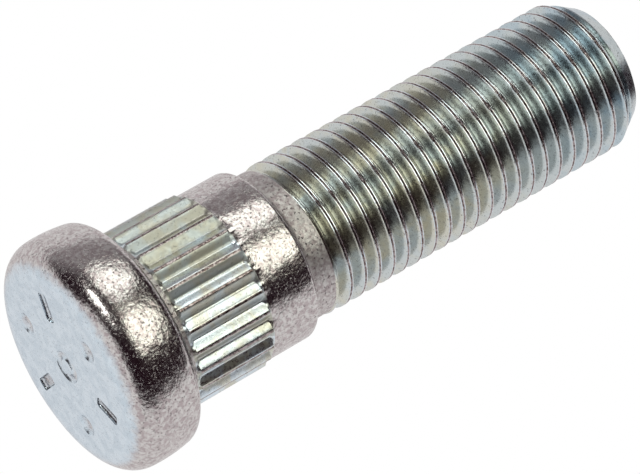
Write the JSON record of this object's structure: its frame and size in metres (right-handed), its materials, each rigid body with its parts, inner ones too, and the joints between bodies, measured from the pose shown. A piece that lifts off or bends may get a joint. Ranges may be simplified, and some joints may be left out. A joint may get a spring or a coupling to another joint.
{
  "type": "wheel stud",
  "caption": "Press-in wheel stud with a round head, straight serrated knurl, smooth collar and a fine metric thread chamfered at the tip, in zinc-plated steel.",
  "frame": {"origin": "centre of the head's outer face, on which the stud stands", "axes": "+Z along the stud's axis, from the head up to the tip of the thread; X and Y are equal, with the middle of a knurl groove on -Y"},
  "size_m": [0.021, 0.021, 0.056],
  "materials": {
    "zinc_plated_steel": "bright zinc plate with a clear blue passivation over a forged and rolled steel surface"
  },
  "bodies": {
    "root": {"wheel_stud": "zinc_plated_steel"}
  },
  "joints": []
}
